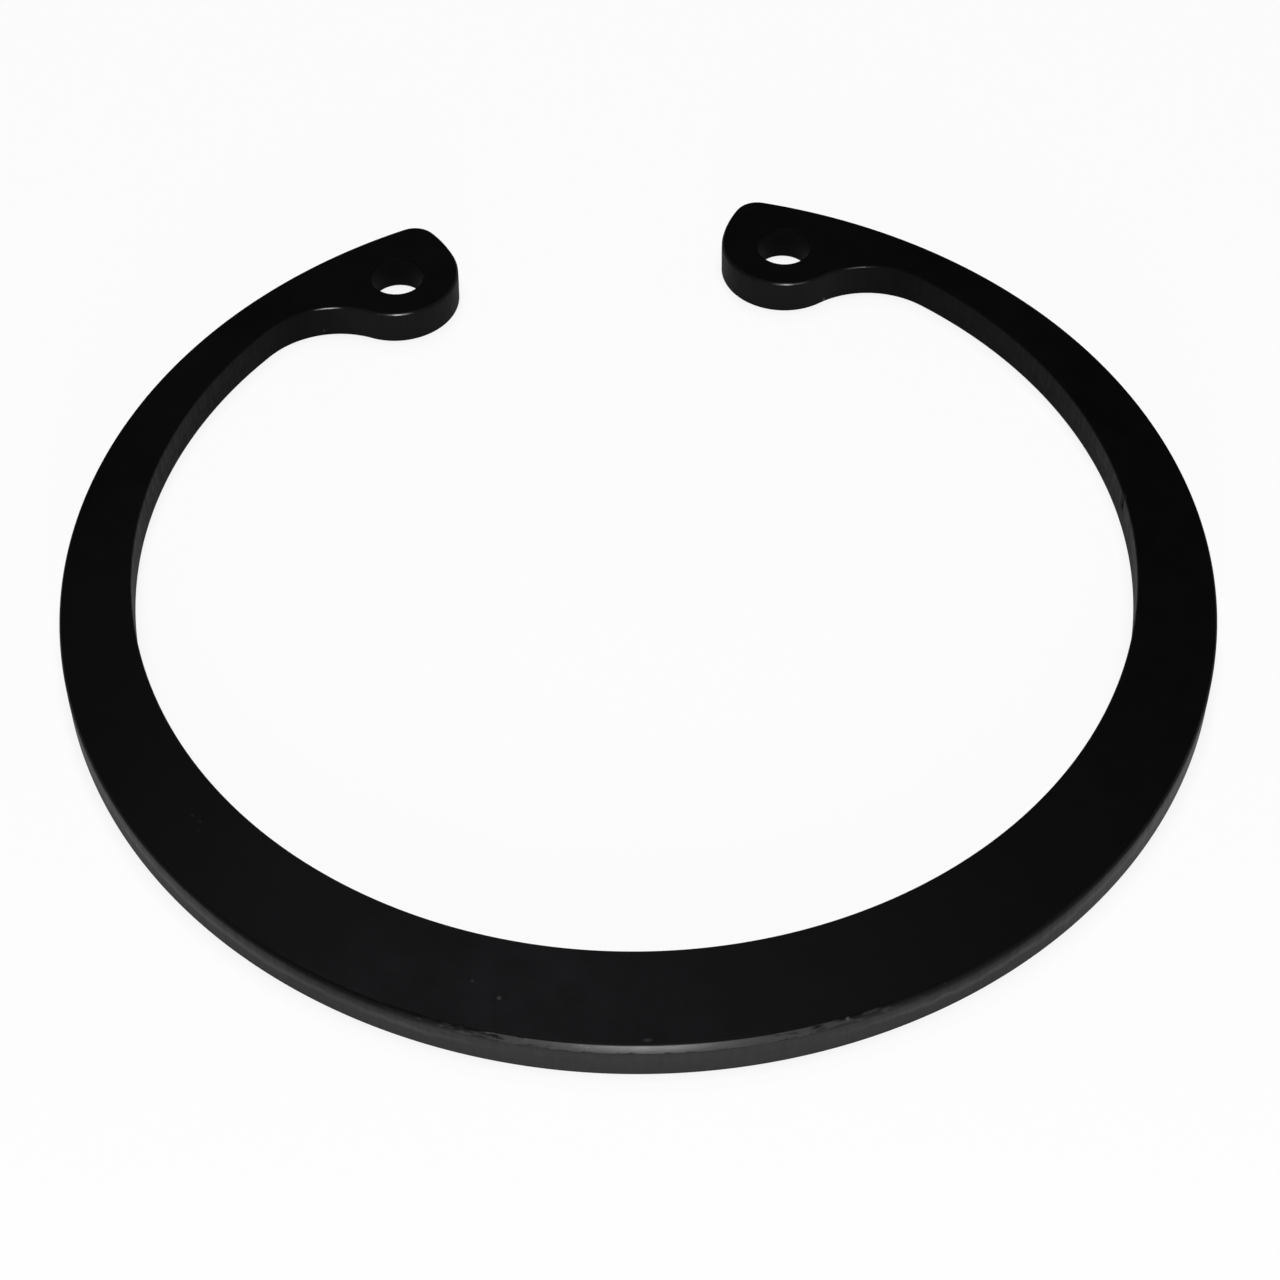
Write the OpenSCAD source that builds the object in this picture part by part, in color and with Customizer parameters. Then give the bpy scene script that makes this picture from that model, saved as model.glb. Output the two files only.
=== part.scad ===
// Internal retaining ring for a groove in a bore, stamped from spring steel sheet.
// It lies flat with its underside on z = 0, the rim centred on the origin and the gap towards +Y.

/* [Ring] */
// Diameter of the rim while the ring is free
free_d = 50.5; // [42:0.5:60]
// Thickness of the sheet
thickness = 1.75; // [1:0.05:3]
// Radial width of the beam opposite the gap
back_w = 4.7; // [3.6:0.1:6]
// Radial width that the beam tapers to at the gap
end_w = 1.55; // [1.2:0.05:2.4]

/* [Lugs] */
// Distance across the gap between the two ends of the rim
rim_gap = 17.6; // [16:0.2:18.4]
// Clear distance between the noses of the lugs
lug_gap = 12.8; // [12:0.2:14]
// Radial height of a lug, from the rim to the end of its nose
lug_h = 5.6; // [5.3:0.1:6.4]
// Radius of the corner where the rim turns into the end face
corner_r = 1.2; // [1:0.1:1.6]
// Radius of the slightly bowed end face
face_r = 6; // [5:0.5:12]
// Radius of the round nose at a lug's inner end
nose_r = 3; // [2.6:0.1:3.3]
// Radius of the hollow between a lug and the beam
fillet_r = 4.1; // [2:0.1:6]

/* [Plier holes] */
// Diameter of a plier hole
hole_d = 2.5; // [1.5:0.1:3]
// Distance between the centres of the two holes
hole_pitch = 18.7; // [17.8:0.1:19.6]
// Distance from the rim to the centre of a hole
hole_inset = 2.9; // [2.5:0.1:3.3]

/* [Stamped edge] */
// Radius of the edge that the punch draws down around the upper face
roll_r = 0.2; // [0.05:0.05:0.4]
// Radius of the drawn-down edge at a plier hole
hole_roll_r = 0.15; // [0.05:0.05:0.4]

/* [Hidden] */
$fn = 120;

rim_r = free_d / 2;
// The inner circle is shifted towards the gap, and this alone tapers the beam.
inner_r = (free_d - back_w - end_w) / 2;
inner_c = [0, (back_w - end_w) / 2];

// The core's flat faces start this far inside the drawn-down edge.
core_margin = 0.2;
// Largest turn between two points of the core's outline, in degrees
core_step = 8;

function polar(r, a) = r * [cos(a), sin(a)];

function bearing(from, to) = atan2(to[1] - from[1], to[0] - from[0]);

// Angle a raised by a whole turn if it is below low
function turned(a, low) = a < low ? a + 360 : a;

// Point at distance pr from p and qr from q, on the left of the way from p to q
function left_meet(p, pr, q, qr) =
    let (
        way = q - p,
        gap = norm(way),
        foot = (pr * pr - qr * qr + gap * gap) / (2 * gap),
        off = sqrt(pr * pr - foot * foot)
    )
    p + (foot * way + off * [-way[1], way[0]]) / gap;

// Centres of the right-hand lug's arcs, each arc tangent to the next
rim_end_a = acos(rim_gap / free_d);
corner_c = polar(rim_r - corner_r, rim_end_a);
nose_x = lug_gap / 2 + nose_r;
nose_c = [nose_x, sqrt(pow(rim_r - lug_h + nose_r, 2) - nose_x * nose_x)];
face_c = left_meet(corner_c, face_r - corner_r, nose_c, face_r - nose_r);
fillet_c = left_meet(nose_c, nose_r + fillet_r, inner_c, inner_r - fillet_r);

// Directions in which one arc hands over to the next
corner_end_a = turned(bearing(face_c, corner_c), rim_end_a);
face_end_a = turned(bearing(face_c, nose_c), corner_end_a);
nose_end_a = turned(bearing(nose_c, fillet_c), face_end_a);
beam_end_a = bearing(inner_c, fillet_c);

// Each arc of the outline is its centre, radius, first angle, last angle and side:
// -1 where the sheet lies inside the arc, 1 where it lies around it.
rim = [[0, 0], rim_r, 180 - rim_end_a, 360 + rim_end_a, -1];
corner = [corner_c, corner_r, rim_end_a, corner_end_a, -1];
face = [face_c, face_r, corner_end_a, face_end_a, -1];
nose = [nose_c, nose_r, face_end_a, nose_end_a, -1];
fillet = [fillet_c, fillet_r, beam_end_a, nose_end_a - 180, 1];
inner = [inner_c, inner_r, 180 - beam_end_a, 360 + beam_end_a, 1];

hole_c = [hole_pitch / 2, sqrt(pow(rim_r - hole_inset, 2) - pow(hole_pitch / 2, 2))];

// Point at angle a of an arc, set into the sheet by inset
function on(arc, inset, a) = arc[0] + polar(arc[1] + arc[4] * inset, a);

// Points along an arc, set into the sheet by inset and without the last one, in either direction
function along(arc, inset, back = false) =
    let (
        n = ceil((arc[3] - arc[2]) / core_step),
        from = back ? arc[3] : arc[2],
        step = (arc[3] - arc[2]) / n * (back ? -1 : 1)
    )
    [for (i = [0 : n - 1]) on(arc, inset, from + i * step)];

function mirrored(points) = [for (p = points) [-p[0], p[1]]];

// The whole outline set into the sheet by inset, anticlockwise from the left-hand end of the rim
function outline(inset) = concat(
    along(rim, inset),
    along(corner, inset),
    along(face, inset),
    along(nose, inset),
    along(fillet, inset, back = true),
    along(inner, inset, back = true),
    mirrored(along(fillet, inset)),
    mirrored(along(nose, inset, back = true)),
    mirrored(along(face, inset, back = true)),
    mirrored(along(corner, inset, back = true))
);

// Strip over an arc's edge, from just outside the sheet to its flat part.
// Neighbouring strips share a side.
function strip(arc, reach) = concat(
    along(arc, -core_margin),
    [on(arc, -core_margin, arc[3])],
    along(arc, reach, back = true),
    [on(arc, reach, arc[2])]
);

// The sheet around or inside a whole circle, with the edge along the circle drawn down
module rolled_sheet(r, side, roll) {
    reach = roll + 3 * core_margin;
    rotate_extrude()
        translate([r, 0])
            mirror([side > 0 ? 1 : 0, 0]) {
                translate([-reach, 0])
                    square([reach, thickness - roll]);
                translate([-reach, 0])
                    square([reach - roll, thickness]);
                translate([-roll, thickness - roll])
                    circle(r = roll, $fn = 24);
            }
}

// Moves by a coarse step and then by what is left of it, which keeps tangent arcs tangent
// where a position is stored to six figures.
module place(at) {
    coarse = [for (v = at) round(v * 100) / 100];
    translate(coarse)
        translate(at - coarse)
            children();
}

// The drawn-down edge along one arc of the outline
module edge(arc) {
    intersection() {
        place(arc[0])
            rolled_sheet(arc[1], arc[4], roll_r);
        linear_extrude(thickness)
            polygon(strip(arc, roll_r + 2 * core_margin));
    }
}

// The lug's own edges, and the edge round its plier hole
module lug_edges() {
    for (arc = [corner, face, nose, fillet])
        edge(arc);
    translate(hole_c)
        rolled_sheet(hole_d / 2, 1, hole_roll_r);
}

// The flat sheet between the edges
module core() {
    linear_extrude(thickness)
        difference() {
            polygon(outline(roll_r + core_margin));
            for (side = [-1, 1])
                translate([side * hole_c[0], hole_c[1]])
                    circle(hole_d / 2 + hole_roll_r + core_margin);
        }
}

module retaining_ring() {
    color("#1d1d1f") {
        core();
        edge(rim);
        edge(inner);
        lug_edges();
        mirror([1, 0, 0])
            lug_edges();
    }
}

retaining_ring();
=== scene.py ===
import math

import bmesh
import bpy
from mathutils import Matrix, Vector


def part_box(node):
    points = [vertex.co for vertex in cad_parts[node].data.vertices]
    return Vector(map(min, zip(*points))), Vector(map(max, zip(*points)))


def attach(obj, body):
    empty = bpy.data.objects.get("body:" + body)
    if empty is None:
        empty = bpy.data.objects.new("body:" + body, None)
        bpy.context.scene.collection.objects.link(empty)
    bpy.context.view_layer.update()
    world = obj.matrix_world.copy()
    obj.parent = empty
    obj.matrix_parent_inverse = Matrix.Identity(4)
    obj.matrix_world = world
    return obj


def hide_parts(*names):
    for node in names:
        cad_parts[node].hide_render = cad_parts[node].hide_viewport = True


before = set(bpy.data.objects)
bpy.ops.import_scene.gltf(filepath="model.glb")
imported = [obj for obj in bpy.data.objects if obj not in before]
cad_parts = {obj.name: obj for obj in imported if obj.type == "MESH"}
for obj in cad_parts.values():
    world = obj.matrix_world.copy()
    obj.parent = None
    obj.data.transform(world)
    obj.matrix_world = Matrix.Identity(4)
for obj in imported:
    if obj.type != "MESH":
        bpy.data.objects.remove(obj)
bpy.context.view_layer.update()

bl_info = {
    "name": "Retaining ring",
    "version": (1, 0, 0),
    "blender": (4, 5, 0),
    "location": "View3D > Sidebar > Retaining ring",
    "description": "Models a stamped internal retaining ring with a blackened finish",
    "category": "Object",
}

NODE = "retaining_ring"
LOW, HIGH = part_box(NODE)
MM = 0.001
# Lengths closer than this are the same, as far as a mesh stores them
SAME = 1e-6

# The drawn edge from the wall to the upper face: radius in parts of its size, and the first and
# last slope in degrees
DRAWN_EDGE = ((10.0, 0, 6), (0.3, 6, 24), (10.8, 24, 34), (0.1, 34, 90))
# Segments along each of those arcs
DRAWN_STEPS = 4
# A depth below the upper face, in parts of the edge's size, that takes in the whole drawn edge
DRAWN_DEPTH = 3.2
# What each bit of each arc leaves of the drawn edge's size, from the rim round to the inside
EDGE_SHARES = (
    (1, 0.85, 0.8, 0.8, 0.85, 0.9, 1, 1, 1, 1, 1, 1, 1, 1, 1, 1),
    (1,),
    (1,),
    (0.92,) * 5,
    (0.95,) * 5,
    (1,),
)
# How far the section reaches onto each face, in parts of the edge's size
FACE_STRIP = 0.4
# The torn band on its way down: how much of its step it stands back, and its height in parts of
# the height where it begins
TORN_BAND = ((0.3, 0.8), (0.7, 0.6), (1.0, 0.35))
# Fewest segments along one bit of an arc
FEWEST_SEGMENTS = 3
# Edges that turn by more than this stay sharp
SHARP_TURN = math.radians(32)

# A nick across the upper part of the right inner wall: its direction from the opening's middle,
# the part of the thickness that it leaves below it, half its width in segments, and its depth
NICK_TURN = math.radians(1.31)
NICK_FLOOR = 0.55
NICK_HALF_WIDTH = 0.52
NICK_DEPTH = 0.12 * MM

# What mark_zones stores on the ring's points: upright walls, the smooth sheared band, the part of
# the rim's wall that has a pale ledge, the worn drawn edge, which carries a painted highlight, the
# part of it that pliers grip, which carries the lugs' painted highlights, the rim's wall and the
# lugs' noses by how pale they are, the rim's paleness being partly painted reflection and shade,
# and the plier holes
ZONES = ("wall", "shear", "ledge", "edge", "grip", "rim", "hole")
# The direction in which the rim is worn most, towards the camera and the key lamp, where the
# drawn edge's painted highlight falls and the rim's painted reflection is toned. In what follows, a
# pair is where a ramp starts and where it is full.
FRONT = math.radians(-94)
# Wear of the drawn edge, laid where the key lamp's highlight falls and so partly a painted
# highlight: radians away from the front, and distance from where pliers rub a lug
FRONT_WEAR_AND_HIGHLIGHT = (0.5, 0.1)
GRIP_WEAR_AND_HIGHLIGHT = (1.2 * MM, 0.3 * MM)
# The facet on the drawn edge, by the upward part of its normal, from the wall and from the face
FACET_FROM_WALL = (0.15, 0.35)
FACET_FROM_FACE = (0.95, 0.75)
# The rim and the edge on it, by the distance inside the rim in parts of the edge's size
ON_RIM = (2, 1)
# How pale the rim's wall is at the front, and where it reaches its full tone on both sides, in
# radians away from the front. The paler rim is partly painted reflection, and this change of tone
# around the ring is painted light.
RIM_AT_FRONT = 0.6
RIM_SIDES = (0.6, 0.95)
# Depth where the rim's wall turns pale, in parts of the sheared band's; above it the wall keeps a
# painted shade along its top
RIM_DEPTH = (0.08, 0.5)
# How pale the rim is below the tear, how much of that it loses at the left as painted shade, and
# where
TORN_RIM = 0.94
LEFT_SHADE = 0.3
LEFT_SHADE_REACH = (14 * MM, 21 * MM)
# How pale the wall is round the tip of a lug's nose, and how far from the tip
NOSE_WALL = 0.1
NOSE_REACH = (5 * MM, 2 * MM)
# Beside the front the painted shade along the top of the rim's wall reaches deeper: where that
# starts and ends, in radians away from the front, and how much deeper it is, in parts of the
# sheared band's depth
DEEP_START = (0.35, 0.5)
DEEP_END = (0.85, 0.7)
DEEPER = 0.3
# Where the pale ledge starts on both sides, in radians away from the front
LEDGE_SIDES = (0.25, 0.42)

# Noises of the finish: grain in mm, stretch, detail and roughness
NOISES = {
    "crystals": (0.07, (1, 1, 1), 2, 0.5),
    "mottle": (1.3, (1, 1, 1), 5, 0.6),
    "film": (9, (1, 1, 1), 3, 0.5),
    "streaks": (0.16, (1, 1, 0.06), 3, 0.5),
    "tears": (0.3, (1, 1, 0.45), 5, 0.65),
    "waves": (0.9, (1, 1, 0.3), 4, 0.6),
    "rubs": (1.2, (1, 1, 1), 4, 0.5),
    "rags": (0.4, (1, 1, 1), 4, 0.6),
    "breaks": (0.3, (0.3, 1, 2), 4, 0.55),
}
# Where the dips and the peaks of a noise lie, as it seldom reaches 0 or 1
DIPS, PEAKS = 0.3, 0.7
# How much the matt coat reflects
COAT_SPECULAR = 0.04
# Roughness of the faces: from the oil film, and what the mottle adds
FILM_ROUGHNESS = (0.34, 0.38)
MOTTLE_ROUGHNESS = (-0.02, 0.02)
# Roughness of each zone, which covers those before it: its noise, and the values at its dips and
# peaks. The bore is the wall of a plier hole.
ZONE_ROUGHNESS = (
    ("wall", "tears", 0.55, 0.68),
    ("shear", "streaks", 0.52, 0.64),
    ("rim", "streaks", 0.5, 0.6),
    ("bore", "mottle", 0.6, 0.6),
    ("edge", "mottle", 0.28, 0.34),
)
# The relief: the depth of one unit of height, the crystals' height, and what each zone has instead
RELIEF_DEPTH = 0.004 * MM
CRYSTAL_HEIGHT = 0.2
ZONE_HEIGHTS = (("wall", "tears", 3.0), ("shear", "streaks", 1.2))
# How much of the black the mottle thins to grey, and between which values of its noise
MOTTLE_GREY = 0.1
MOTTLE_RANGE = (0.35, 0.7)
# How pale the rim's colour stays where its wall is torn least, and between which values
RIM_LEAST = 0.8
RIM_RANGE = (0.2, 0.8)
# The pale ledge where the tear begins: how far noise moves its line up and down, the distances
# from the line where it fades, and how much steel shows on it
LEDGE_WAVE = 0.7 * MM
LEDGE_FADE = (0.02 * MM, 0.26 * MM)
LEDGE_STEEL = 0.08
# What is left of the ledge where the oil film is thin, and between which values of the film
LEDGE_LEAST = 0.4
LEDGE_RANGE = (0.3, 0.5)
# Steel that shows on a gripped edge, which brightens the lugs' glints: a painted highlight
GRIP_STEEL_HIGHLIGHT = 0.08

# The worn facet, which carries the drawn edge's painted highlight: depths where it begins above a
# ragged lower line and ends below the face, and how far its lower line is ragged
LOWER_LINE = (0.16 * MM, 0.12 * MM)
UPPER_LINE = (0.03 * MM, 0.06 * MM)
RAGGED = 0.4 * MM
# How far noise breaks the wear up, and the wear between which the facet turns bare
BREAK_UP = 1.8
BARE_RANGE = (0.4, 0.75)
# Below this much wear the facet stays black whatever the noise
BARE_LEAST = 0.1
# How bare the facet is between its rubbed patches, how fine those are from 0 to 1, the noise where
# they start and end without wear, and how much all the wear moves both down
UNRUBBED = 0.6
RUB_FINE = 0.4
RUB_RANGE = (0.66, 0.8)
RUB_SHIFT = 0.2

# Specks, scratches and painted glints: place in mm, reach in mm and how pale
SPECKS_AND_GLINTS = (
    ((-8.93, -21.15, 1.75), 0.1, 0.07),
    ((-7.95, -22.09, 1.75), 0.13, 0.13),
    ((-2.5, -24.7, 1.75), 0.11, 0.06),
    ((-2.4, -24.71, 1.75), 0.12, 0.09),
    ((-2.3, -24.72, 1.75), 0.11, 0.06),
    ((-19.7, -11.6, 1.75), 0.09, 0.04),
    ((-19.4, -11.95, 1.75), 0.09, 0.04),
    ((-19.5, -12.4, 1.75), 0.08, 0.03),
    # Two pale spots on the rim's drawn edge at the front are painted glints
    ((3.01, -25.12, 1.68), 0.14, 0.5),
    ((5.47, -24.54, 1.65), 0.12, 0.25),
    ((11.04, 18.07, 0.16), 0.1, 0.25),
    ((-13.03, 18.43, 0.3), 0.08, 0.15),
)
# The part of a mark's reach that is as pale as its middle
MARK_CORE = 0.3

# Lamps: place, target, width and height in metres, radiance, and colour
LAMPS = {
    "overhead": ((0, 0, 0.8), (0, 0, 0), 0.5, 0.5, 6.2, (1, 1, 1)),
    "back": ((0.008, 0.41, 0.71), (0, 0, 0), 0.14, 0.14, 13.0, (1, 0.96, 1.07)),
    "key": ((-0.015, -0.155, 0.03), (-0.002, -0.025, 0), 0.034, 0.055, 22.0, (1, 1, 1)),
}
# Width of the camera's sensor in mm
SENSOR_WIDTH = 36
# The floor lies this far below the ring, so that the two don't share a plane
FLOOR_GAP = 0.02 * MM
FLOOR_SIDES = 96
# Height and segments of the low backdrop that the floor curves up into
BACKDROP_HEIGHT = 0.15
BACKDROP_STEPS = 10


def length(name, description, default):
    """A size in metres, shown in the scene's own unit"""
    return bpy.props.FloatProperty(
        name=name,
        description=description,
        default=default,
        min=0.0,
        precision=5,
        subtype="DISTANCE",
        unit="LENGTH",
    )


def amount(name, description, default):
    """An amount from none to all"""
    return bpy.props.FloatProperty(
        name=name,
        description=description,
        default=default,
        min=0.0,
        max=1.0,
        subtype="FACTOR",
    )


def tint(name, description, default):
    """A linear colour"""
    return bpy.props.FloatVectorProperty(
        name=name,
        description=description,
        default=default,
        size=4,
        min=0.0,
        max=1.0,
        subtype="COLOR",
    )


class RingSizes(bpy.types.PropertyGroup):
    """Sizes of the stamped ring"""

    free_diameter: length("Free diameter", "Diameter of the rim while the ring is free", 50.5 * MM)
    thickness: length("Thickness", "Thickness of the sheet", HIGH.z - LOW.z)
    back_width: length("Back width", "Radial width of the beam opposite the gap", 4.7 * MM)
    end_width: length("End width", "Radial width that the beam tapers to at the gap", 1.55 * MM)
    rim_gap: length("Rim gap", "Distance across the gap between the rim's two ends", 17.6 * MM)
    lug_gap: length("Lug gap", "Clear distance between the noses of the lugs", 12.8 * MM)
    lug_height: length("Lug height", "Radial height of a lug, from rim to nose", 5.6 * MM)
    corner_radius: length("Corner radius", "Corner where the rim turns into the end face", 1.2 * MM)
    face_radius: length("End face radius", "Radius of the bowed end face", 6.0 * MM)
    nose_radius: length("Nose radius", "Radius of a lug's round nose", 3.0 * MM)
    fillet_radius: length("Fillet radius", "Hollow between a lug and the beam", 4.1 * MM)
    hole_diameter: length("Hole diameter", "Diameter of a plier hole", 2.5 * MM)
    hole_pitch: length("Hole pitch", "Distance between the two plier holes", 18.7 * MM)
    hole_inset: length("Hole inset", "Distance from the rim to a hole's centre", 2.9 * MM)
    roll: length("Rolled edge", "Radius of the edge that the punch draws down", 0.2 * MM)
    hole_roll: length("Rolled hole edge", "Radius of the drawn edge at a hole", 0.05 * MM)
    shear_depth: length("Shear depth", "Depth of the wall's smooth sheared band", 0.85 * MM)
    tear_step: length("Tear step", "How far the torn band stands back", 0.012 * MM)
    burr_edge: length("Lower edge", "Width of the broken lower edge", 0.02 * MM)
    segment: length("Segment", "Length of one segment along the outline", 0.2 * MM)


class FinishLook(bpy.types.PropertyGroup):
    """Colours of the blackened finish"""

    black: tint("Black", "Phosphated and oiled steel", (0.0004, 0.0004, 0.0005, 1))
    grey: tint("Grey", "Rubbed or torn steel under the black", (0.0016, 0.0016, 0.0017, 1))
    # The rim's pale tone is partly painted reflection and painted shade
    rim: tint("Rim", "Rim wall, where the black is thinned by the bore", (0.0485, 0.0485, 0.05, 1))
    # Dark metal of the worn edge, laid where the key lamp's highlight falls: partly wear, partly
    # painted highlight
    edge: tint("Edge", "Dark metal that the drawn edge is worn to", (0.056, 0.056, 0.0575, 1))
    steel: tint("Steel", "Metal that shows where an edge is rubbed bare", (0.2, 0.2, 0.205, 1))
    # How much wear bares the facet that carries the drawn edge's painted highlight
    wear_and_highlight: amount("Wear", "How much of the drawn edge is rubbed", 0.3)


class StageLook(bpy.types.PropertyGroup):
    """Camera, floor and lamps"""

    camera_place: bpy.props.FloatVectorProperty(
        name="Camera place",
        description="Where the camera stands",
        default=(-10.314 * MM, -94.033 * MM, 104.116 * MM),
        size=3,
        precision=5,
        subtype="TRANSLATION",
        unit="LENGTH",
    )
    camera_turn: bpy.props.FloatVectorProperty(
        name="Camera turn",
        description="How the camera is turned",
        default=(math.radians(41.4615), math.radians(0.0988), math.radians(-6.4143)),
        size=3,
        subtype="EULER",
        unit="ROTATION",
    )
    lens: bpy.props.FloatProperty(
        name="Lens",
        description="Focal length on a sensor 36 mm wide",
        default=89.306,
        min=1.0,
        subtype="DISTANCE_CAMERA",
        unit="CAMERA",
    )
    floor: tint("Floor", "Pale floor and backdrop", (0.93, 0.93, 0.935, 1))
    floor_radius: length("Floor radius", "Radius of the flat part of the floor", 0.5)
    lift: amount("Floor lift", "How far the floor is lifted to plain white", 0.82)
    world: tint("World", "Dim room around the stage", (0.04, 0.04, 0.04, 1))


def alone():
    """Leaves edit mode and deselects everything"""
    if bpy.context.mode != "OBJECT":
        bpy.ops.object.mode_set(mode="OBJECT")
    bpy.ops.object.select_all(action="DESELECT")


def selected(*pieces):
    """Selects these objects alone and makes the first one active"""
    alone()
    for piece in pieces:
        piece.select_set(True)
    bpy.context.view_layer.objects.active = pieces[0]


def pick(test, kind="verts"):
    """Selects just those of the mesh's elements that pass the test, and counts them; edit mode"""
    mesh = bmesh.from_edit_mesh(bpy.context.object.data)
    bpy.ops.mesh.select_all(action="DESELECT")
    found = 0
    for element in getattr(mesh, kind):
        if test(element):
            element.select_set(True)
            found += 1
    mesh.select_flush(kind == "verts")
    bmesh.update_edit_mesh(bpy.context.object.data)
    return found


def near(value, target, slack=SAME):
    """Whether two lengths are the same, give or take the slack"""
    return abs(value - target) < slack


def ramp(value, zero, one):
    """Runs from 0 to 1 as the value goes from zero to one, and stays there"""
    return min(max((value - zero) / (one - zero), 0), 1)


class Plan:
    """The right half of the ring's outline, worked out from its sizes"""

    def __init__(self, size):
        self.rim_radius = size.free_diameter / 2
        self.inner_radius = (size.free_diameter - size.back_width - size.end_width) / 2
        self.inner = Vector((0, (size.back_width - size.end_width) / 2))
        self.rim_end = math.acos(size.rim_gap / size.free_diameter)
        corner = self.polar(self.rim_radius - size.corner_radius, self.rim_end)
        nose_x = size.lug_gap / 2 + size.nose_radius
        nose_reach = self.rim_radius - size.lug_height + size.nose_radius
        nose = Vector((nose_x, math.sqrt(nose_reach**2 - nose_x**2)))
        face = self.meet(
            corner,
            size.face_radius - size.corner_radius,
            nose,
            size.face_radius - size.nose_radius,
        )
        fillet = self.meet(
            nose,
            size.nose_radius + size.fillet_radius,
            self.inner,
            self.inner_radius - size.fillet_radius,
        )
        corner_end = self.bearing(face, corner, self.rim_end)
        face_end = self.bearing(face, nose, corner_end)
        nose_end = self.bearing(nose, fillet, face_end)
        beam_end = self.bearing(self.inner, fillet, 0)
        start = -math.pi / 2
        # Centre, radius and turn of each arc, from the rim's lowest point round to the beam's
        self.arcs = [
            (Vector((0, 0)), self.rim_radius, self.rim_end - start),
            (corner, size.corner_radius, corner_end - self.rim_end),
            (face, size.face_radius, face_end - corner_end),
            (nose, size.nose_radius, nose_end - face_end),
            (fillet, size.fillet_radius, beam_end + math.pi - nose_end),
            (self.inner, self.inner_radius, start - beam_end),
        ]
        hole_x = size.hole_pitch / 2
        hole_reach = self.rim_radius - size.hole_inset
        self.hole = Vector((hole_x, math.sqrt(hole_reach**2 - hole_x**2)))

    @staticmethod
    def polar(radius, angle):
        return radius * Vector((math.cos(angle), math.sin(angle)))

    @staticmethod
    def bearing(start, end, low):
        """Direction from start to end, raised by a whole turn if it is below low"""
        angle = math.atan2(end.y - start.y, end.x - start.x)
        return angle + math.tau if angle < low else angle

    @staticmethod
    def meet(first, first_reach, second, second_reach):
        """Point at the two reaches from first and second, on the left of the way between them"""
        way = second - first
        gap = way.length
        foot = (first_reach**2 - second_reach**2 + gap**2) / (2 * gap)
        off = math.sqrt(first_reach**2 - foot**2)
        return first + (foot * way + off * Vector((-way.y, way.x))) / gap


def extrude(move):
    """Extrudes what is selected by this move"""
    bpy.ops.mesh.extrude_region_move(TRANSFORM_OT_translate={"value": move})


def draw_profile(name, size, edge_y, roll):
    """Draws the section of a stamped edge at x = 0: its sheet lies on the +Y side of edge_y.
    It runs up the wall, over the drawn edge and a little way onto both faces."""
    alone()
    top = size.thickness
    drop = sum(
        radius * roll * (math.sin(math.radians(end)) - math.sin(math.radians(start)))
        for radius, start, end in DRAWN_EDGE
    )
    bpy.ops.mesh.primitive_plane_add(size=roll, location=(0, edge_y, top - drop))
    piece = bpy.context.object
    piece.name = name
    bpy.ops.object.transform_apply(location=True, rotation=True, scale=True)
    bpy.ops.object.mode_set(mode="EDIT")
    bpy.ops.mesh.select_all(action="SELECT")
    bpy.ops.mesh.merge(type="CENTER")

    shear_end = top - size.shear_depth
    burr = size.burr_edge
    border = roll * FACE_STRIP
    wall = [(0, (top - drop + shear_end) / 2), (0, shear_end)]
    wall += [(size.tear_step * back, shear_end * height) for back, height in TORN_BAND]
    wall += [
        (size.tear_step, burr),
        (size.tear_step + burr, 0),
        (size.tear_step + burr + border, 0),
    ]
    at = (0, top - drop)
    for inset, height in wall:
        extrude((0, inset - at[0], height - at[1]))
        at = (inset, height)

    at = (edge_y, top - drop)
    for radius, start, end in DRAWN_EDGE:
        # Each arc's centre lies inwards and down from where the arc starts
        first, last = math.radians(start), math.radians(end)
        reach = radius * roll
        centre = (at[0] + reach * math.cos(first), at[1] - reach * math.sin(first))
        pick(lambda v: math.dist(v.co.yz, at) < SAME / 10)
        bpy.ops.mesh.spin(
            steps=DRAWN_STEPS,
            angle=last - first,
            center=(0, *centre),
            axis=(1, 0, 0),
        )
        at = (centre[0] - reach * math.cos(last), centre[1] + reach * math.sin(last))
    extrude((0, border, 0))
    return piece


def spin(centre, radius, turn, segment):
    """Spins what is selected round a centre in plan"""
    steps = max(FEWEST_SEGMENTS, round(abs(turn) * radius / segment))
    bpy.ops.mesh.spin(
        steps=steps,
        angle=-turn,
        center=(centre.x, centre.y, 0),
        axis=(0, 0, 1),
    )


def shrink_edge(size, share):
    """Draws the selected section's edge in towards its corner, to this share of what it is"""
    mesh = bmesh.from_edit_mesh(bpy.context.object.data)
    section = [v for v in mesh.verts if v.select]
    shear_end = size.thickness - size.shear_depth
    corner = next(v.co.copy() for v in section if near(v.co.z, shear_end))
    corner.z = size.thickness
    lowest = size.thickness - DRAWN_DEPTH * size.roll
    indices = {v.index for v in section}
    pick(lambda v: v.index in indices and v.co.z > lowest)
    bpy.ops.transform.resize(value=(share, share, share), center_override=corner)
    pick(lambda v: v.index in indices)


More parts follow.
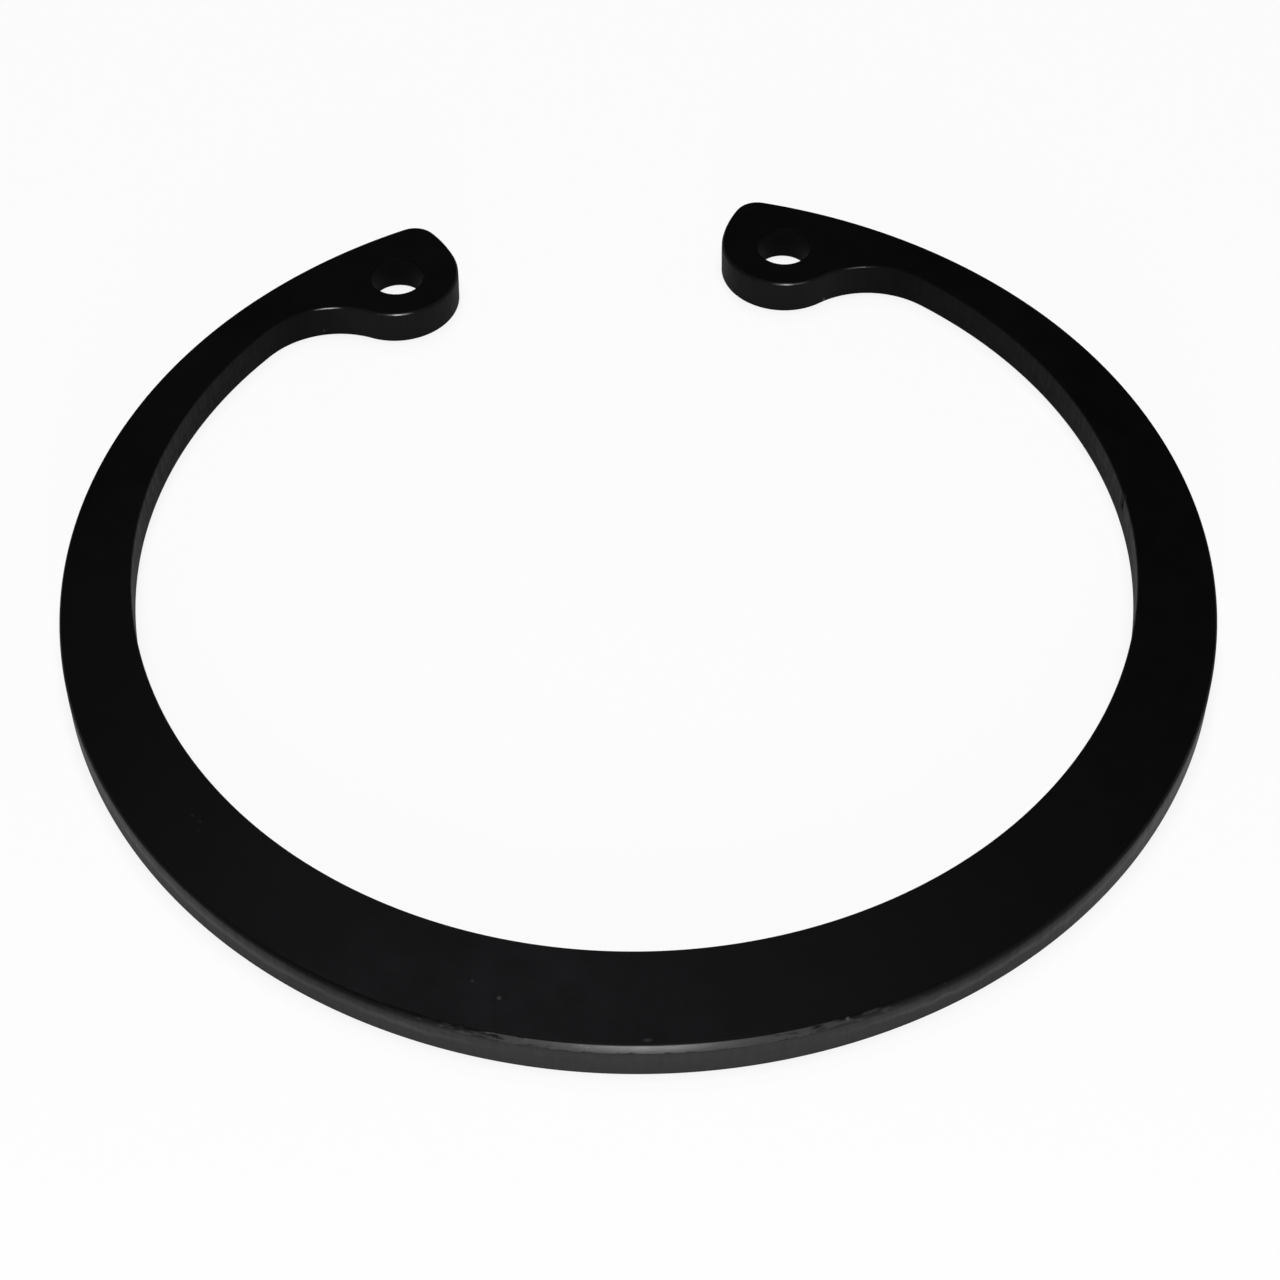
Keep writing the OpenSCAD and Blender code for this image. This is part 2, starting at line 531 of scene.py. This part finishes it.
def mark_zones(mesh, size, plan):
    """Stores how much each point belongs to each zone. The edge is worn along the rim's front,
    and on the lugs where pliers slip; these are the places where the key lamp's highlight falls, so
    the worn edge is partly a painted highlight. The rim's paleness is partly painted reflection and
    shade."""
    shear_end = size.thickness - size.shear_depth
    nose, fillet = plan.arcs[3], plan.arcs[4]
    tip = nose[0] - Vector((0, nose[1]))
    hollow = fillet[0] + Vector((0, fillet[1]))
    hole_reach = size.hole_diameter / 2 + 2 * size.roll
    zones = {name: [] for name in ZONES}
    for vertex in mesh.vertices:
        x, y, z = vertex.co
        at = (abs(x), y)
        rise = vertex.normal.z
        level = math.sqrt(max(1 - rise * rise, 0))
        sheared = z > shear_end - SAME
        on_rim = ramp((plan.rim_radius - math.hypot(x, y)) / size.roll, *ON_RIM)
        aside = abs(math.remainder(math.atan2(y, x) - FRONT, math.tau))

        facet = ramp(rise, *FACET_FROM_WALL) * ramp(rise, *FACET_FROM_FACE)
        # The edge counts as worn at the rim's front and at the lugs' tips and hollows, where the
        # key lamp's highlight falls: partly a painted highlight
        gripped_and_highlit = ramp(min(math.dist(at, tip), math.dist(at, hollow)), *GRIP_WEAR_AND_HIGHLIGHT)
        worn = max(on_rim * ramp(aside, *FRONT_WEAR_AND_HIGHLIGHT), gripped_and_highlit)

        # The rim's paleness: partly painted reflection, toned by direction from the front, with
        # painted shade along the top of the wall and on the left
        pale = RIM_AT_FRONT + (1 - RIM_AT_FRONT) * ramp(aside, *RIM_SIDES)
        deeper = DEEPER * ramp(aside, *DEEP_START) * ramp(aside, *DEEP_END)
        depth = (size.thickness - z) / size.shear_depth
        pale *= ramp(depth, RIM_DEPTH[0], RIM_DEPTH[1] + deeper)
        if not sheared:
            pale *= TORN_RIM - LEFT_SHADE * ramp(-x, *LEFT_SHADE_REACH)
        nose_pale = NOSE_WALL * ramp(math.dist(at, tip), *NOSE_REACH)

        zones["wall"].append(level**2)
        zones["shear"].append(level**2 if sheared else 0.0)
        zones["ledge"].append(on_rim * level * ramp(aside, *LEDGE_SIDES))
        zones["edge"].append(facet * worn)
        zones["grip"].append(facet * gripped_and_highlit)
        zones["rim"].append(max(on_rim * pale, nose_pale) * level)
        zones["hole"].append(float(math.dist(at, plan.hole) < hole_reach))
    for name, values in zones.items():
        layer = mesh.attributes.new(name, "FLOAT", "POINT")
        layer.data.foreach_set("value", values)


class RETAINING_OT_ring(bpy.types.Operator):
    """Models the stamped ring: spins its edge section round the outline and fills both faces"""

    bl_idname = "retaining.ring"
    bl_label = "Ring"
    bl_options = {"REGISTER", "UNDO"}

    def execute(self, context):
        size = context.scene.ring_sizes
        plan = Plan(size)
        ring = draw_profile("stamped_ring", size, -plan.rim_radius, size.roll)
        bpy.ops.mesh.select_all(action="SELECT")
        for (centre, radius, turn), shares in zip(plan.arcs, EDGE_SHARES):
            # The edge narrows on the way from the rim round the lug to the inside
            for share in shares:
                spin(centre, radius, turn / len(shares), size.segment)
                if share < 1:
                    shrink_edge(size, share)
        alone()

        hole_edge = -size.hole_diameter / 2
        hole = draw_profile("plier_hole", size, hole_edge, size.hole_roll)
        # The sheet lies outside a hole, so its section is turned round before it is moved there
        bpy.ops.mesh.select_all(action="SELECT")
        bpy.ops.transform.resize(value=(1, -1, 1), center_override=(0, hole_edge, 0))
        bpy.ops.transform.translate(value=(plan.hole.x, plan.hole.y, 0))
        spin(plan.hole, size.hole_diameter / 2, math.tau, size.segment / 2)
        selected(ring, hole)
        bpy.ops.object.join()

        mirror = ring.modifiers.new("other half", "MIRROR")
        mirror.use_axis = (True, False, False)
        mirror.use_clip = True
        mirror.merge_threshold = SAME
        bpy.ops.object.modifier_apply(modifier=mirror.name)
        bpy.ops.object.mode_set(mode="EDIT")
        bpy.ops.mesh.select_all(action="SELECT")
        bpy.ops.mesh.remove_doubles(threshold=SAME)

        middle, radius = plan.inner, plan.inner_radius
        half_width = size.segment * NICK_HALF_WIDTH
        pick(
            lambda v: v.co.z > size.thickness * NICK_FLOOR
            and near(math.dist(v.co.xy, middle), radius, size.roll)
            and near(math.atan2(v.co.y - middle.y, v.co.x), NICK_TURN, half_width / radius)
        )
        bpy.ops.transform.translate(value=(NICK_DEPTH, 0, 0))

        for height in (size.thickness, 0):
            pick(
                lambda e: e.is_boundary and all(near(v.co.z, height) for v in e.verts),
                "edges",
            )
            bpy.ops.mesh.fill(use_beauty=True)
        bpy.ops.mesh.select_all(action="SELECT")
        bpy.ops.mesh.normals_make_consistent(inside=False)
        if pick(lambda e: not e.is_manifold, "edges"):
            raise RuntimeError("These sizes leave the ring's mesh open")
        selected(ring)
        bpy.ops.object.shade_smooth_by_angle(angle=SHARP_TURN)

        mark_zones(ring.data, size, plan)
        ring.data.materials.clear()
        ring.data.materials.append(blackened_steel(context.scene.finish_look, size))
        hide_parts(NODE)
        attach(ring, "root")
        return {"FINISHED"}


class Graph:
    """Adds nodes to a material; an input is a value or another node's output"""

    def __init__(self, name):
        self.material = bpy.data.materials.new(name)
        self.material.use_nodes = True
        self.tree = self.material.node_tree
        self.shader = self.tree.nodes["Principled BSDF"]
        self.output = self.tree.nodes["Material Output"]

    def add(self, kind, inputs, **settings):
        """Adds a node of this kind and returns its outputs"""
        node = self.tree.nodes.new("ShaderNode" + kind)
        for name, value in settings.items():
            setattr(node, name, value)
        self.fill(node, inputs)
        return node.outputs

    def fill(self, node, inputs):
        """Links or sets a node's inputs by name or number"""
        for name, value in inputs.items():
            if isinstance(value, bpy.types.NodeSocket):
                self.tree.links.new(value, node.inputs[name])
            else:
                node.inputs[name].default_value = value

    def point(self):
        """The point on the object"""
        return self.add("TexCoord", {})["Object"]

    def noise(self, grain, stretch, detail, rough):
        """Noise whose lumps are about one grain across, from 0 to 1"""
        stretched = self.add("Mapping", {"Vector": self.point(), "Scale": stretch})["Vector"]
        inputs = {"Vector": stretched, "Scale": 1 / grain, "Detail": detail, "Roughness": rough}
        return self.add("TexNoise", inputs)["Fac"]

    def attribute(self, name):
        """What the mesh stores under this name"""
        return self.add("Attribute", {}, attribute_name=name)["Fac"]

    def math(self, operation, first, second, clamp=False):
        """One sum, product or comparison of two numbers"""
        inputs = {0: first, 1: second}
        return self.add("Math", inputs, operation=operation, use_clamp=clamp)["Value"]

    def product(self, first, *others):
        """All these numbers multiplied"""
        for other in others:
            first = self.math("MULTIPLY", first, other)
        return first

    def step(self, value, low, high, start=0.0, end=1.0):
        """Runs smoothly from start to end as the value goes from low to high"""
        inputs = {"Value": value, "From Min": low, "From Max": high, "To Min": start, "To Max": end}
        return self.add("MapRange", inputs, interpolation_type="SMOOTHSTEP")["Result"]

    def vary(self, noise, low, high):
        """Runs from low to high as the noise goes from its dips to its peaks"""
        return self.step(noise, DIPS, PEAKS, low, high)

    def blend(self, amount, first, second):
        """From the first colour to the second"""
        node = self.tree.nodes.new("ShaderNodeMix")
        node.data_type = "RGBA"
        self.fill(node, {0: amount, 6: first, 7: second})
        return node.outputs[2]

    def between(self, amount, first, second):
        """From the first number to the second"""
        return self.add("Mix", {0: amount, 2: first, 3: second}, data_type="FLOAT")[0]

    def bump(self, height, depth):
        """The surface's normal, tilted by a relief of this height"""
        return self.add("Bump", {"Height": height, "Distance": depth, "Strength": 1.0})["Normal"]


def specks_and_glints(g, point):
    """How pale each place is from single spots, short scratches and painted glints"""
    speck_and_glint_paleness = 0.0
    for place, reach, pale in SPECKS_AND_GLINTS:
        spot = tuple(value * MM for value in place)
        away = g.add("VectorMath", {0: point, 1: spot}, operation="DISTANCE")["Value"]
        mark = g.step(away, MARK_CORE * reach * MM, reach * MM, pale, 0.0)
        speck_and_glint_paleness = g.math("MAXIMUM", speck_and_glint_paleness, mark)
    return speck_and_glint_paleness


def bare_facet_and_highlight(g, zone, noise, up, wear_and_highlight, thickness):
    """How far the drawn edge's facet is worn through to dark metal; it is laid where the key lamp's
    highlight falls, so it is partly real rubbing and partly a painted highlight
    """
    low, high = (value - RUB_SHIFT * wear_and_highlight for value in RUB_RANGE)
    rubbed = g.step(g.between(RUB_FINE, noise["rubs"], noise["crystals"]), low, high)
    patches = g.between(rubbed, UNRUBBED, 1.0)

    breaks = g.product(g.math("SUBTRACT", noise["breaks"], (DIPS + PEAKS) / 2), BREAK_UP)
    worn = g.step(g.math("ADD", zone["edge"], breaks), *BARE_RANGE)
    kept = g.step(zone["edge"], 0.0, BARE_LEAST)

    ragged = g.math("ADD", up, g.product(noise["rags"], RAGGED))
    above = g.step(ragged, *(thickness - depth for depth in LOWER_LINE))
    below = g.step(up, *(thickness - depth for depth in UPPER_LINE))
    off_hole = g.math("SUBTRACT", 1.0, zone["hole"])
    return g.product(worn, kept, above, below, off_hole, g.math("MAXIMUM", patches, zone["grip"]))


def pale_ledge(g, zone, noise, up, height):
    """How much steel shows on the ledge, along a wavy line at about this height"""
    wave = g.product(g.math("SUBTRACT", noise["waves"], (DIPS + PEAKS) / 2), LEDGE_WAVE)
    away = g.math("SUBTRACT", g.math("ADD", up, wave), height)
    line = g.step(g.math("ABSOLUTE", away, 0.0), *LEDGE_FADE, LEDGE_STEEL, 0.0)
    oiled = g.step(noise["film"], *LEDGE_RANGE, LEDGE_LEAST, 1.0)
    return g.product(line, oiled, zone["ledge"])


def coat_colour(g, zone, noise, ledge, speck_and_glint_paleness, bare, look):
    """Black faces and grey walls, with the plier holes' walls left black as painted shade, the
    paler rim, partly painted reflection and shade, and what is rubbed on top, partly painted glints
    and highlights
    """
    mottled = g.step(noise["mottle"], *MOTTLE_RANGE, 0.0, MOTTLE_GREY)
    colour = g.blend(mottled, look.black, look.grey)
    # The plier holes' walls stay black rather than grey: painted shade inside the holes
    walls = g.math("SUBTRACT", zone["wall"], zone["hole"], clamp=True)
    colour = g.blend(walls, colour, look.grey)
    patches = g.step(noise["tears"], *RIM_RANGE, RIM_LEAST, 1.0)
    # The paler rim, partly painted reflection and painted shade
    colour = g.blend(g.product(zone["rim"], patches), colour, look.rim)
    colour = g.blend(ledge, colour, look.steel)
    # Specks and scratches, and painted glints on the rim's drawn edge
    colour = g.blend(speck_and_glint_paleness, colour, look.steel)
    # The worn facet's dark metal, laid where the key lamp's highlight falls: partly a painted
    # highlight
    colour = g.blend(bare, colour, look.edge)
    # Steel on the gripped facets brightens the lugs' glints: painted highlight
    return g.blend(g.product(zone["grip"], bare, GRIP_STEEL_HIGHLIGHT), colour, look.steel)


def coat_roughness(g, zone, noise):
    """Satin oiled faces, dull sheared and torn walls, and smoother rubbed edges"""
    film = g.vary(noise["film"], *FILM_ROUGHNESS)
    rough = g.math("ADD", film, g.vary(noise["mottle"], *MOTTLE_ROUGHNESS))
    for name, texture, low, high in ZONE_ROUGHNESS:
        rough = g.between(zone[name], rough, g.vary(noise[texture], low, high))
    return rough


def coat_height(g, zone, noise):
    """Fine crystals on the faces, tears and streaks on the walls"""
    height = g.product(noise["crystals"], CRYSTAL_HEIGHT)
    for name, texture, scale in ZONE_HEIGHTS:
        height = g.between(zone[name], height, g.product(noise[texture], scale))
    return height


def blackened_steel(look, size):
    """Phosphated and oiled spring steel: dull flat faces, sheared and torn walls, rubbed edges"""
    g = Graph("blackened_steel")
    zone = {name: g.attribute(name) for name in ZONES}
    zone["bore"] = g.product(zone["hole"], zone["wall"])
    noise = {
        name: g.noise(grain * MM, stretch, detail, rough)
        for name, (grain, stretch, detail, rough) in NOISES.items()
    }
    point = g.point()
    up = g.add("SeparateXYZ", {"Vector": point})["Z"]
    ledge = pale_ledge(g, zone, noise, up, size.thickness - size.shear_depth)
    bare = bare_facet_and_highlight(g, zone, noise, up, look.wear_and_highlight, size.thickness)
    inputs = {
        "Base Color": coat_colour(g, zone, noise, ledge, specks_and_glints(g, point), bare, look),
        "Metallic": bare,
        "Roughness": coat_roughness(g, zone, noise),
        "Specular IOR Level": COAT_SPECULAR,
        "Normal": g.bump(coat_height(g, zone, noise), RELIEF_DEPTH),
    }
    g.fill(g.shader, inputs)
    return g.material


def area_lamp(name, place, target, width, height, radiance, colour):
    """A soft lamp that faces its target; radiance 1 is as bright as white"""
    alone()
    bpy.ops.object.light_add(type="AREA", location=place)
    lamp = bpy.context.object
    lamp.name = name
    lamp.data.shape = "RECTANGLE"
    lamp.data.color = colour
    lamp.data.size = width
    lamp.data.size_y = height
    lamp.data.energy = radiance * width * height * math.pi
    lamp.rotation_euler = (Vector(target) - Vector(place)).to_track_quat("-Z", "Y").to_euler()
    lamp.visible_camera = False


class RETAINING_OT_stage(bpy.types.Operator):
    """Sets up the camera, the pale floor, the dim room and the lamps"""

    bl_idname = "retaining.stage"
    bl_label = "Stage"
    bl_options = {"REGISTER", "UNDO"}

    def execute(self, context):
        look = context.scene.stage_look
        scene = context.scene
        alone()
        bpy.ops.object.camera_add(location=look.camera_place, rotation=look.camera_turn)
        camera = context.object
        camera.name = "camera"
        camera.data.lens = look.lens
        camera.data.sensor_width = SENSOR_WIDTH
        camera.data.clip_start = MM
        scene.camera = camera

        alone()
        bpy.ops.mesh.primitive_circle_add(
            vertices=FLOOR_SIDES,
            radius=look.floor_radius,
            fill_type="NGON",
            location=(0, 0, -FLOOR_GAP),
        )
        floor = context.object
        floor.name = "floor"
        bpy.ops.object.transform_apply(location=True, rotation=True, scale=True)
        bpy.ops.object.mode_set(mode="EDIT")
        radius = look.floor_radius
        for step in range(BACKDROP_STEPS):
            low, high = (math.pi / 2 * turn / BACKDROP_STEPS for turn in (step, step + 1))
            up = BACKDROP_HEIGHT * (math.cos(low) - math.cos(high))
            reach = radius + BACKDROP_HEIGHT * math.sin(low)
            grow = (radius + BACKDROP_HEIGHT * math.sin(high)) / reach
            pick(lambda e: e.is_boundary, "edges")
            bpy.ops.mesh.extrude_edges_move(TRANSFORM_OT_translate={"value": (0, 0, up)})
            bpy.ops.transform.resize(value=(grow, grow, 1), center_override=(0, 0, 0))
        selected(floor)
        bpy.ops.object.shade_smooth()
        floor.data.materials.append(pale_floor(look))

        world = bpy.data.worlds.new("room")
        world.use_nodes = True
        world.node_tree.nodes["Background"].inputs["Color"].default_value = look.world
        scene.world = world

        for name, settings in LAMPS.items():
            area_lamp(name, *settings)

        scene.view_settings.view_transform = "Standard"
        return {"FINISHED"}


def pale_floor(look):
    """Matt pale paper, near white to the camera and in reflections, with the ring's soft shadow"""
    g = Graph("pale_floor")
    g.fill(g.shader, {"Base Color": look.floor, "Roughness": 1.0, "Specular IOR Level": 0.0})
    path = g.add("LightPath", {})
    seen = g.math("ADD", path["Is Camera Ray"], path["Is Glossy Ray"], clamp=True)
    seen = g.math("ADD", seen, path["Is Transmission Ray"], clamp=True)
    white = g.add("Emission", {"Color": (1, 1, 1, 1), "Strength": 1.0})["Emission"]
    lift = g.math("MULTIPLY", seen, look.lift)
    paper = g.add("MixShader", {0: lift, 1: g.shader.outputs["BSDF"], 2: white})["Shader"]
    clear = g.add("BsdfTransparent", {})["BSDF"]
    below = g.add("NewGeometry", {})["Backfacing"]
    both = g.add("MixShader", {0: below, 1: paper, 2: clear})["Shader"]
    g.fill(g.output, {"Surface": both})
    return g.material


class RETAINING_PT_panel(bpy.types.Panel):
    """Builds the ring and its stage"""

    bl_idname = "RETAINING_PT_panel"
    bl_label = "Retaining ring"
    bl_space_type = "VIEW_3D"
    bl_region_type = "UI"
    bl_category = "Retaining ring"

    def draw(self, context):
        layout = self.layout
        for operator in (RETAINING_OT_ring, RETAINING_OT_stage):
            layout.operator(operator.bl_idname)
        for group in ("ring_sizes", "finish_look", "stage_look"):
            box = layout.box()
            settings = getattr(context.scene, group)
            for name in type(settings).__annotations__:
                box.prop(settings, name)


CLASSES = (
    RingSizes,
    FinishLook,
    StageLook,
    RETAINING_OT_ring,
    RETAINING_OT_stage,
    RETAINING_PT_panel,
)


def register():
    for cls in CLASSES:
        bpy.utils.register_class(cls)
    bpy.types.Scene.ring_sizes = bpy.props.PointerProperty(type=RingSizes)
    bpy.types.Scene.finish_look = bpy.props.PointerProperty(type=FinishLook)
    bpy.types.Scene.stage_look = bpy.props.PointerProperty(type=StageLook)


def unregister():
    del bpy.types.Scene.stage_look
    del bpy.types.Scene.finish_look
    del bpy.types.Scene.ring_sizes
    for cls in reversed(CLASSES):
        bpy.utils.unregister_class(cls)


def main():
    register()
    bpy.ops.retaining.ring()
    bpy.ops.retaining.stage()


if __name__ == "__main__":
    main()
